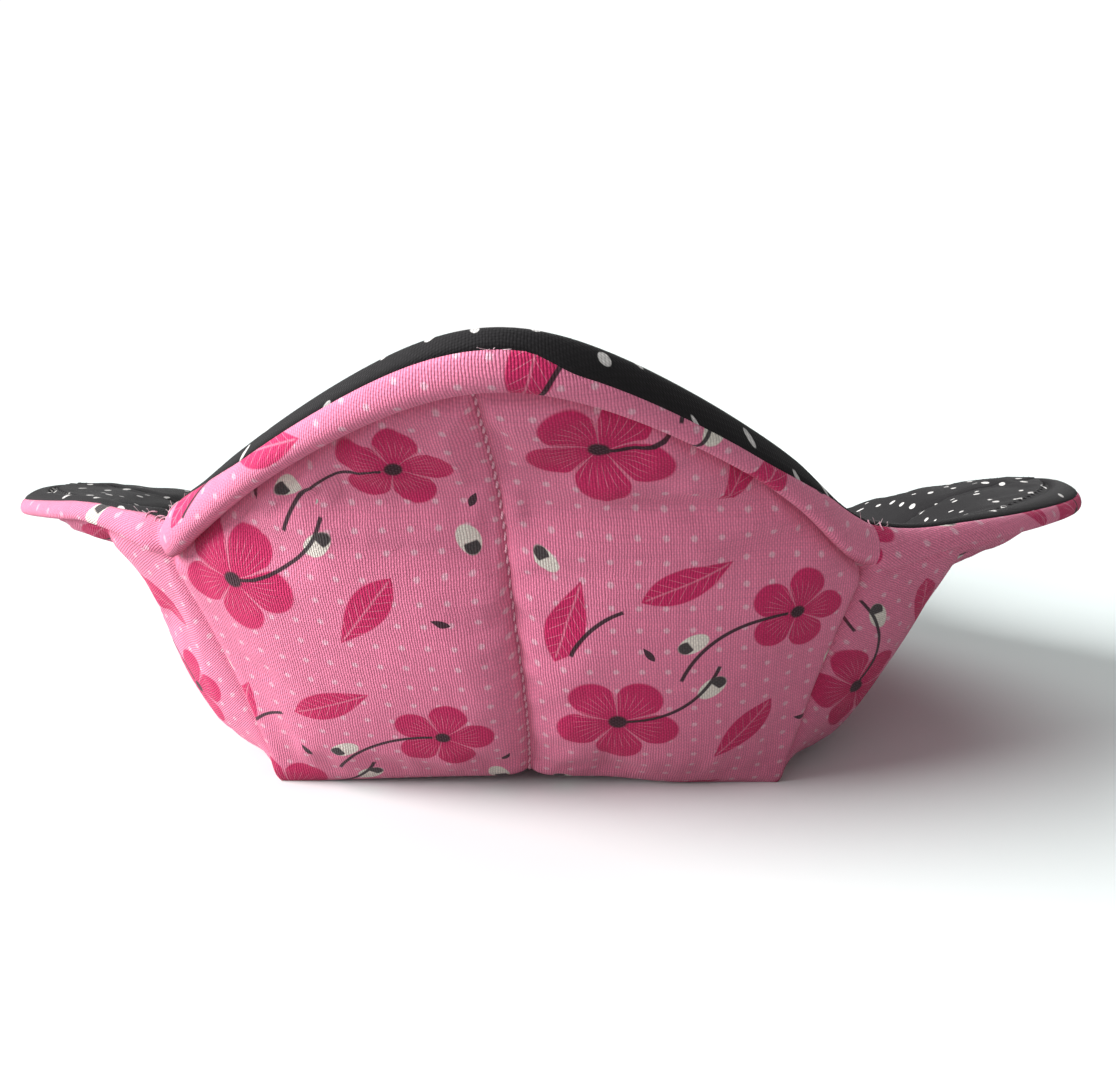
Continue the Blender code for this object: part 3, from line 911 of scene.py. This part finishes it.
class Pattern:
    """A shader node group with named inputs and outputs."""

    def __init__(self, name, inputs, outputs):
        self.tree = bpy.data.node_groups.new(name, "ShaderNodeTree")
        for label, value in inputs.items():
            kind = "NodeSocketVector" if value is None else "NodeSocketFloat"
            socket = self.tree.interface.new_socket(label, in_out="INPUT", socket_type=kind)
            if value is not None:
                socket.default_value = value
        for label in outputs:
            self.tree.interface.new_socket(label, in_out="OUTPUT", socket_type="NodeSocketFloat")
        self.start = self.tree.nodes.new("NodeGroupInput")
        self.end = self.tree.nodes.new("NodeGroupOutput")

    def number(self, label):
        return Field(self.tree, self.start.outputs[label])

    def place(self):
        """X and Y of the place that the pattern is given."""
        return split(self.tree, self.start.outputs["Place"])

    def give(self, **results):
        for label, field in results.items():
            field.feed(self.end.inputs[label])


def split(tree, socket):
    node = tree.nodes.new("ShaderNodeSeparateXYZ")
    tree.links.new(socket, node.inputs[0])
    return Field(tree, node.outputs["X"]), Field(tree, node.outputs["Y"])


def together(tree, x, y):
    node = tree.nodes.new("ShaderNodeCombineXYZ")
    x.feed(node.inputs["X"])
    y.feed(node.inputs["Y"])
    return node.outputs[0]


def noise_field(tree, place, scale, detail=2.0):
    node = tree.nodes.new("ShaderNodeTexNoise")
    node.inputs["Scale"].default_value = scale
    node.inputs["Detail"].default_value = detail
    tree.links.new(place, node.inputs["Vector"])
    return Field(tree, node.outputs[0])


def placed(tree, group, place, **values):
    """A pattern put into a material or another pattern, with its own values."""
    node = tree.nodes.new("ShaderNodeGroup")
    node.node_tree = group.tree
    tree.links.new(place, node.inputs["Place"])
    for label, value in values.items():
        node.inputs[label].default_value = value
    return {socket.name: Field(tree, socket) for socket in node.outputs}


def own_frame(x, y, group):
    """A place seen from a motif that has its own centre and turn."""
    centre_x, centre_y, turn = group.number("X"), group.number("Y"), group.number("Turn")
    dx, dy = x - centre_x, y - centre_y
    c, s = turn.cos(), turn.sin()
    return dx * c + dy * s, dy * c - dx * s


def weave_pattern():
    """Plain weave: height of the threads, and each thread's own tone with painted shade where the threads
    dip.
    """
    group = Pattern("weave", {"Place": None, "Pitch": 0.45, "Rib": 0.76}, ("Height", "Shade"))
    x, y = group.place()
    pitch, rib = group.number("Pitch"), group.number("Rib")
    wander = noise_field(group.tree, group.start.outputs["Place"], 0.35)
    across = ((x + wander * 0.5) / pitch * math.pi).sin()
    along = ((y + wander * 0.5) / pitch * math.pi).sin()
    height = abs(across) * rib + abs(along) * (1.0 - rib) + across * along * 0.22
    warp = noise_field(group.tree, together(group.tree, x / pitch, y * 0.12), 1.0)
    weft = noise_field(group.tree, together(group.tree, x * 0.12, y / pitch), 1.0)
    shade = warp + weft - 1.0
    # The second output is partly each thread's own tone and partly painted shade, darker where the threads
    # dip between each other
    group.give(Height=height, Shade=shade * 0.5 + (height - 0.62) * 0.75)
    return group


def dot_grid_pattern():
    """Small round dots in straight rows and columns, with slightly ragged ink."""
    inputs = {"Place": None, "Pitch": 4.36, "Radius": 0.52, "X": -1.1, "Y": 1.96}
    group = Pattern("pin_dots", inputs, ("Dots",))
    x, y = group.place()
    pitch = group.number("Pitch")
    fold_x = ((x - group.number("X")) / pitch + 0.5)
    fold_y = ((y - group.number("Y")) / pitch + 0.5)
    near_x = (fold_x - fold_x.floor() - 0.5) * pitch
    near_y = (fold_y - fold_y.floor() - 0.5) * pitch
    ragged = noise_field(group.tree, group.start.outputs["Place"], 2.2, 1.0) - 0.5
    group.give(Dots=(near_x.length(near_y) + ragged * 0.45).below(group.number("Radius"), 0.2))
    return group


def scattered_dot_pattern():
    """Small long dots, each with its own turn, scattered over a loose grid."""
    group = Pattern("scattered_dots", {"Place": None, "Pitch": 7.2, "Radius": 0.92}, ("Dots",))
    tree = group.tree
    pitch = group.number("Pitch")
    x, y = group.place()
    cells = tree.nodes.new("ShaderNodeTexVoronoi")
    cells.voronoi_dimensions = "2D"
    cells.inputs["Scale"].default_value = 1.0
    cells.inputs["Randomness"].default_value = 0.62
    tree.links.new(together(tree, x / pitch, y / pitch), cells.inputs["Vector"])
    centre_x, centre_y = split(tree, cells.outputs["Position"])
    dx, dy = x - centre_x * pitch, y - centre_y * pitch
    turn, size = split(tree, cells.outputs["Color"])
    c, s = (turn * 1.6 - 0.8).cos(), (turn * 1.6 - 0.8).sin()
    long_way, short_way = dy * c + dx * s, (dx * c - dy * s) * 1.55
    group.give(Dots=long_way.length(short_way).below(group.number("Radius") * (size * 0.5 + 0.8), 0.12))
    return group


MOTIF = {"Place": None, "X": 0.0, "Y": 0.0, "Turn": 0.0, "Size": 8.0}


def blossom_pattern():
    """An open five-petalled blossom with fine veins and an eye."""
    group = Pattern("blossom", MOTIF, ("Ink", "Vein", "Eye"))
    x, y = own_frame(*group.place(), group)
    size = group.number("Size")
    radius = x.length(y) / size
    angle = y.join("ARCTAN2", x)
    petal = abs((angle * 2.5).cos())
    edge = (petal ** 0.55) * 0.5 + 0.5
    rays = abs((angle * 17.0 + radius * 3.0).sin())
    ink = (radius - edge).below(0.0, 0.03)
    gaps = (petal - radius * 0.09).below(0.07, 0.04) * radius.below(0.98, 0.04)
    vein = rays.below(0.16, 0.1) * radius.below(0.68, 0.1) * (1.0 - radius.below(0.3, 0.05))
    group.give(Ink=ink, Vein=(vein.most(gaps * ink)) * ink, Eye=radius.below(0.15, 0.03))
    return group


def leaf_pattern():
    """A pointed leaf with a midrib and side veins."""
    group = Pattern("leaf", MOTIF, ("Ink", "Vein"))
    x, y = own_frame(*group.place(), group)
    size = group.number("Size")
    across, along = y / size, x / size
    blade = (1.0 - along * along) * 0.36 * (along * 0.35 + 1.0)
    ink = (abs(across) - blade).below(0.0, 0.025) * abs(along).below(1.0, 0.02)
    midrib = abs(across).below(0.018, 0.02)
    side = abs(((along - abs(across) * 1.1) * 13.0).sin()).below(0.12, 0.12)
    vein = midrib.most(side * abs(across).below(0.26, 0.05)) * ink
    group.give(Ink=ink, Vein=vein * abs(along).below(0.9, 0.05))
    return group


def stem_pattern():
    """A thin curved stem, drawn as part of a circle."""
    inputs = {**MOTIF, "Sweep": 0.8, "Thickness": 0.34}
    group = Pattern("stem", inputs, ("Ink",))
    x, y = own_frame(*group.place(), group)
    size = group.number("Size")
    angle = abs(y.join("ARCTAN2", x))
    line = abs(x.length(y) - size).below(group.number("Thickness"), 0.09)
    group.give(Ink=line * angle.below(group.number("Sweep"), 0.01))
    return group


def bud_pattern():
    """A pale oval bud with a dark tip."""
    group = Pattern("bud", MOTIF, ("Pale", "Tip"))
    x, y = own_frame(*group.place(), group)
    size = group.number("Size")
    along, across = x / size, y / size * 1.7
    oval = (along.length(across)).below(1.0, 0.08)
    tip = ((along - 0.55).length(across * 0.9)).below(0.62, 0.06) * (0.2 - along).below(0.0, 0.06)
    group.give(Pale=oval, Tip=tip * oval)
    return group


# The print repeats over this tile, in millimetres, and every other column of tiles drops by half
TILE_WIDTH, TILE_HEIGHT = 62.0, 56.0
BLOSSOMS = ((-15.0, 11.0, 0.3, 11.0), (16.5, -12.0, 1.2, 9.0))
LEAVES = ((7.5, 15.5, -0.9, 8.6), (-2.5, -19.0, 2.7, 8.2), (-22.0, -10.5, 1.9, 8.6))
STEMS = ((-15.0, -8.0, 0.95, 19.0, 0.62), (15.0, 8.0, 4.1, 20.0, 0.6), (-6.0, 2.0, 3.9, 17.0, 0.4))
BUDS = ((1.6, 3.0, -0.8, 3.1), (-1.5, -7.0, 2.6, 2.9), (25.5, 3.4, 1.3, 3.1), (-24.5, -22.0, 4.2, 2.8))
SEEDS = ((19.5, 17.5, 0.4, 1.7), (27.0, -4.0, 2.0, 1.7), (-9.0, -5.0, 1.0, 1.7))


def bouquet_pattern(blossom, leaf, stem, bud):
    """The printed repeat: blossoms and leaves in one ink, stems and tips in black, buds in a pale ink."""
    group = Pattern("bouquet", {"Place": None}, ("Ink", "Vein", "Black", "Pale"))
    tree = group.tree
    x, y = group.place()
    column = (x / TILE_WIDTH).floor()
    dropped = y + (column * 0.5 - (column * 0.5).floor()) * TILE_HEIGHT
    row = (dropped / TILE_HEIGHT).floor()
    local = together(tree, x - (column + 0.5) * TILE_WIDTH, dropped - (row + 0.5) * TILE_HEIGHT)
    inks, veins, blacks, pales = [], [], [], []
    for motif, places in ((blossom, BLOSSOMS), (leaf, LEAVES)):
        for at_x, at_y, turn, size in places:
            marks = placed(tree, motif, local, X=at_x, Y=at_y, Turn=turn, Size=size)
            inks.append(marks["Ink"])
            veins.append(marks["Vein"])
            if "Eye" in marks:
                blacks.append(marks["Eye"])
    for at_x, at_y, turn, size, sweep in STEMS:
        blacks.append(placed(tree, stem, local, X=at_x, Y=at_y, Turn=turn, Size=size, Sweep=sweep)["Ink"])
    for at_x, at_y, turn, size in BUDS:
        marks = placed(tree, bud, local, X=at_x, Y=at_y, Turn=turn, Size=size)
        pales.append(marks["Pale"])
        blacks.append(marks["Tip"])
    for at_x, at_y, turn, size in SEEDS:
        blacks.append(placed(tree, leaf, local, X=at_x, Y=at_y, Turn=turn, Size=size)["Ink"])
    group.give(**{name: most(fields) for name, fields in
                  (("Ink", inks), ("Vein", veins), ("Black", blacks), ("Pale", pales))})
    return group


def most(fields):
    result = fields[0]
    for field in fields[1:]:
        result = result.most(field)
    return result


def new_material(name, colour, roughness):
    material = bpy.data.materials.new(name)
    material.use_nodes = True
    shader = material.node_tree.nodes["Principled BSDF"]
    shader.inputs["Base Color"].default_value = (*colour, 1.0)
    shader.inputs["Roughness"].default_value = roughness
    return material, material.node_tree, shader


def cloth_place(tree):
    """Place on the flat cloth in millimetres."""
    uv = tree.nodes.new("ShaderNodeUVMap")
    uv.uv_map = "cloth"
    scale = tree.nodes.new("ShaderNodeMapping")
    scale.inputs["Scale"].default_value = (FLAT_SIDE * 1000,) * 2 + (1.0,)
    scale.inputs["Location"].default_value = (-FLAT_SIDE * 500,) * 2 + (0.0,)
    tree.links.new(uv.outputs[0], scale.inputs["Vector"])
    return scale.outputs[0]


# Painted shade in the folds along the seams, read from the points
def painted_fold_shade(tree):
    node = tree.nodes.new("ShaderNodeAttribute")
    node.attribute_name = "painted_fold_shade"
    return Field(tree, node.outputs["Fac"])


def mixed(tree, share, low, high):
    """A colour between two others, each a plain colour or a socket."""
    node = tree.nodes.new("ShaderNodeMix")
    node.data_type = "RGBA"
    share.feed(node.inputs["Factor"])
    for socket, value in ((node.inputs[6], low), (node.inputs[7], high)):
        if isinstance(value, tuple):
            socket.default_value = (*value, 1.0)
        else:
            tree.links.new(value, socket)
    return node.outputs[2]


def tinted(tree, colour, shade):
    """A colour made lighter or darker by a number round 1."""
    node = tree.nodes.new("ShaderNodeVectorMath")
    node.operation = "SCALE"
    tree.links.new(colour, node.inputs[0])
    shade.feed(node.inputs["Scale"])
    return node.outputs[0]


def raised(tree, shader, height, strength, distance):
    bump = tree.nodes.new("ShaderNodeBump")
    bump.inputs["Strength"].default_value = strength
    bump.inputs["Distance"].default_value = distance
    height.feed(bump.inputs["Height"])
    tree.links.new(bump.outputs[0], shader.inputs["Normal"])


def outer_cloth_material(weave, dots, bouquet):
    material, tree, shader = new_material("printed_pink_cotton", PINK, 0.82)
    place = cloth_place(tree)
    threads = placed(tree, weave, place)
    pin_dots = placed(tree, dots, place)["Dots"]
    prints = placed(tree, bouquet, place)
    patchy = noise_field(tree, place, 0.05) - 0.5
    colour = mixed(tree, patchy * 0.6 + 0.5, PINK, PINK_DEEP)
    colour = mixed(tree, pin_dots * 0.75, colour, DOT_PALE)
    colour = mixed(tree, prints["Ink"] * 0.97, colour, MAGENTA)
    colour = mixed(tree, prints["Vein"] * 0.6, colour, VEIN)
    colour = mixed(tree, prints["Pale"], colour, OFF_WHITE)
    colour = mixed(tree, prints["Black"] * 0.95, colour, INK_BLACK)
    # Painted shade: the cloth is coloured darker in the folds along its seams
    colour = mixed(tree, painted_fold_shade(tree) * 0.75, colour, FOLD_SHADE_PINK)
    # Thread tone, and painted shade in the gaps between the threads
    colour = tinted(tree, colour, threads["Shade"] * 0.55 + 1.0)
    tree.links.new(colour, shader.inputs["Base Color"])
    shader.inputs["Sheen Weight"].default_value = 0.15
    shader.inputs["Sheen Roughness"].default_value = 0.4
    shader.inputs["Specular IOR Level"].default_value = 0.25
    raised(tree, shader, threads["Height"], 0.9, 0.00016)
    return material


def lining_cloth_material(weave, scattered):
    material, tree, shader = new_material("dotted_black_cotton", BLACK, 0.85)
    place = cloth_place(tree)
    threads = placed(tree, weave, place, Rib=0.5)
    dots = placed(tree, scattered, place)["Dots"]
    lint = noise_field(tree, place, 1.3, 4.0)
    colour = mixed(tree, (lint - 0.45) * 0.5, BLACK, BLACK_WORN)
    colour = mixed(tree, dots * 0.92, colour, DOT_WHITE)
    # Painted shade: the cloth is coloured darker in the folds along its seams
    colour = mixed(tree, painted_fold_shade(tree) * 0.75, colour, FOLD_SHADE_BLACK)
    # Thread tone, and painted shade in the gaps between the threads
    colour = tinted(tree, colour, threads["Shade"] * 0.8 + 1.0)
    tree.links.new(colour, shader.inputs["Base Color"])
    shader.inputs["Sheen Weight"].default_value = 0.08
    shader.inputs["Sheen Roughness"].default_value = 0.35
    shader.inputs["Specular IOR Level"].default_value = 0.25
    raised(tree, shader, threads["Height"], 0.5, 0.00012)
    return material


def thread_material(name, colour):
    """Twisted thread: a fine slanting ply, with painted shade in the grooves between the plies."""
    material, tree, shader = new_material(name, colour, 0.55)
    place = tree.nodes.new("ShaderNodeTexCoord").outputs["Object"]
    ply = tree.nodes.new("ShaderNodeTexWave")
    ply.bands_direction = "DIAGONAL"
    ply.inputs["Scale"].default_value = 1400.0
    tree.links.new(place, ply.inputs["Vector"])
    twist = Field(tree, ply.outputs["Fac"])
    # Painted shade: the thread is coloured darker in the grooves of its twist
    dark = tuple(channel * 0.7 for channel in colour)
    tree.links.new(mixed(tree, twist, dark, colour), shader.inputs["Base Color"])
    raised(tree, shader, twist, 0.4, 0.00005)
    return material


def wadding_material():
    material, tree, shader = new_material("cotton_wadding", WADDING, 0.95)
    place = tree.nodes.new("ShaderNodeTexCoord").outputs["Object"]
    tufts = noise_field(tree, place, 900.0, 4.0)
    tree.links.new(mixed(tree, tufts, tuple(c * 0.8 for c in WADDING), WADDING), shader.inputs["Base Color"])
    raised(tree, shader, tufts, 0.8, 0.0005)
    return material


def make_materials():
    weave = weave_pattern()
    bouquet = bouquet_pattern(blossom_pattern(), leaf_pattern(), stem_pattern(), bud_pattern())
    return {
        "outer_cloth": outer_cloth_material(weave, dot_grid_pattern(), bouquet),
        "lining_cloth": lining_cloth_material(weave, scattered_dot_pattern()),
        "outer_thread": thread_material("pink_thread", THREAD_PINK),
        "lining_thread": thread_material("black_thread", THREAD_BLACK),
        "wadding": wadding_material(),
        "pale_thread": thread_material("pale_thread", THREAD_PALE),
    }


def make_camera():
    data = bpy.data.cameras.new("camera")
    data.sensor_width = SENSOR_WIDTH
    data.lens = FOCAL_PIXELS / IMAGE_WIDTH * SENSOR_WIDTH
    data.clip_start = 0.01
    camera = bpy.data.objects.new("camera", data)
    camera.location = CAMERA_PLACE
    camera.rotation_euler = (math.radians(90 - CAMERA_DOWN), 0.0, math.radians(CAMERA_LEFT))
    bpy.context.collection.objects.link(camera)
    bpy.context.scene.camera = camera


def floor_material():
    """White to look at, and dull to the light that it throws back."""
    material, tree, shader = new_material("floor_white", FLOOR_WHITE, 0.9)
    dull = tree.nodes.new("ShaderNodeBsdfDiffuse")
    dull.inputs["Color"].default_value = (*FLOOR_DULL, 1.0)
    either = tree.nodes.new("ShaderNodeMixShader")
    path = tree.nodes.new("ShaderNodeLightPath")
    tree.links.new(path.outputs["Is Camera Ray"], either.inputs[0])
    tree.links.new(dull.outputs[0], either.inputs[1])
    tree.links.new(shader.outputs[0], either.inputs[2])
    tree.links.new(either.outputs[0], tree.nodes["Material Output"].inputs["Surface"])
    return material


def make_floor():
    mesh = bpy.data.meshes.new("floor")
    far = FLOOR_REACH
    mesh.from_pydata([(-far, -far, 0), (far, -far, 0), (far, far, 0), (-far, far, 0)], [], [(0, 1, 2, 3)])
    mesh.materials.append(floor_material())
    floor = bpy.data.objects.new("floor", mesh)
    bpy.context.collection.objects.link(floor)


def make_sun(name, towards, strength, spread):
    data = bpy.data.lights.new(name, "SUN")
    data.energy = strength
    data.angle = math.radians(spread)
    sun = bpy.data.objects.new(name, data)
    sun.rotation_euler = Vector(towards).to_track_quat("-Z", "Y").to_euler()
    bpy.context.collection.objects.link(sun)


def make_lights():
    make_sun("soft_key", KEY_TOWARDS, KEY_STRENGTH, KEY_SPREAD)
    make_sun("wide_fill", FILL_TOWARDS, FILL_STRENGTH, FILL_SPREAD)
    make_sun("top", TOP_TOWARDS, TOP_STRENGTH, TOP_SPREAD)
    world = bpy.data.worlds.new("pale_room")
    bpy.context.scene.world = world
    world.use_nodes = True
    tree = world.node_tree
    room = tree.nodes["Background"]
    room.inputs["Color"].default_value = (1.0, 1.0, 1.0, 1.0)
    room.inputs["Strength"].default_value = ROOM_STRENGTH
    seen = tree.nodes.new("ShaderNodeBackground")
    seen.inputs["Color"].default_value = (1.0, 1.0, 1.0, 1.0)
    seen.inputs["Strength"].default_value = BACKDROP_STRENGTH
    either = tree.nodes.new("ShaderNodeMixShader")
    path = tree.nodes.new("ShaderNodeLightPath")
    tree.links.new(path.outputs["Is Camera Ray"], either.inputs[0])
    tree.links.new(room.outputs[0], either.inputs[1])
    tree.links.new(seen.outputs[0], either.inputs[2])
    tree.links.new(either.outputs[0], tree.nodes["World Output"].inputs["Surface"])
    bpy.context.scene.view_settings.view_transform = "Standard"


FINE_COLUMNS = spaced(
    (-1.0, -0.93, 7), (-0.93, -0.08, 36), (-0.08, 0.0, 9), (0.0, 0.08, 9), (0.08, 0.93, 36), (0.93, 1.0, 7))
FINE_ROWS = spaced((0.0, 0.10, 9), (0.10, 0.90, 40), (0.90, 1.0, 9))
COARSE_COLUMNS = spaced((-1.0, 0.0, 14), (0.0, 1.0, 14))
COARSE_ROWS = spaced((0.0, 0.12, 3), (0.12, 0.9, 16), (0.9, 1.0, 3))
BILLOW_COLUMNS = spaced((-1.0, 0.0, 26), (0.0, 1.0, 26))
BILLOW_ROWS = spaced((0.0, 1.0, 40))

make_camera()
make_lights()
make_floor()
materials = make_materials()
fine_wall = Wall(FINE_COLUMNS, FINE_ROWS)
coarse_wall = Wall(COARSE_COLUMNS, COARSE_ROWS)
billow_wall = Wall(BILLOW_COLUMNS, BILLOW_ROWS)
billows = billow(billow_wall)
fine_wall.swell = carried(billows, billow_wall, fine_wall)
coarse_wall.swell = carried(billows, billow_wall, coarse_wall)
outer, lining, outer_wadding, lining_wadding = build_layers(fine_wall, coarse_wall, materials)
sewing = build_sewing(fine_wall, materials)

layers = (
    (outer, "outer_shell", "outer_cloth"), (lining, "lining", "lining_cloth"),
    (outer_wadding, "outer_batting", "batting"), (lining_wadding, "lining_batting", "batting"))
for piece, node, slot in layers:
    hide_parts(node)
for piece in (whip_stitches(fine_wall, materials["outer_thread"]), lint(fine_wall, materials["pale_thread"])):
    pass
for node, piece in sewing.items():
    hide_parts(node)
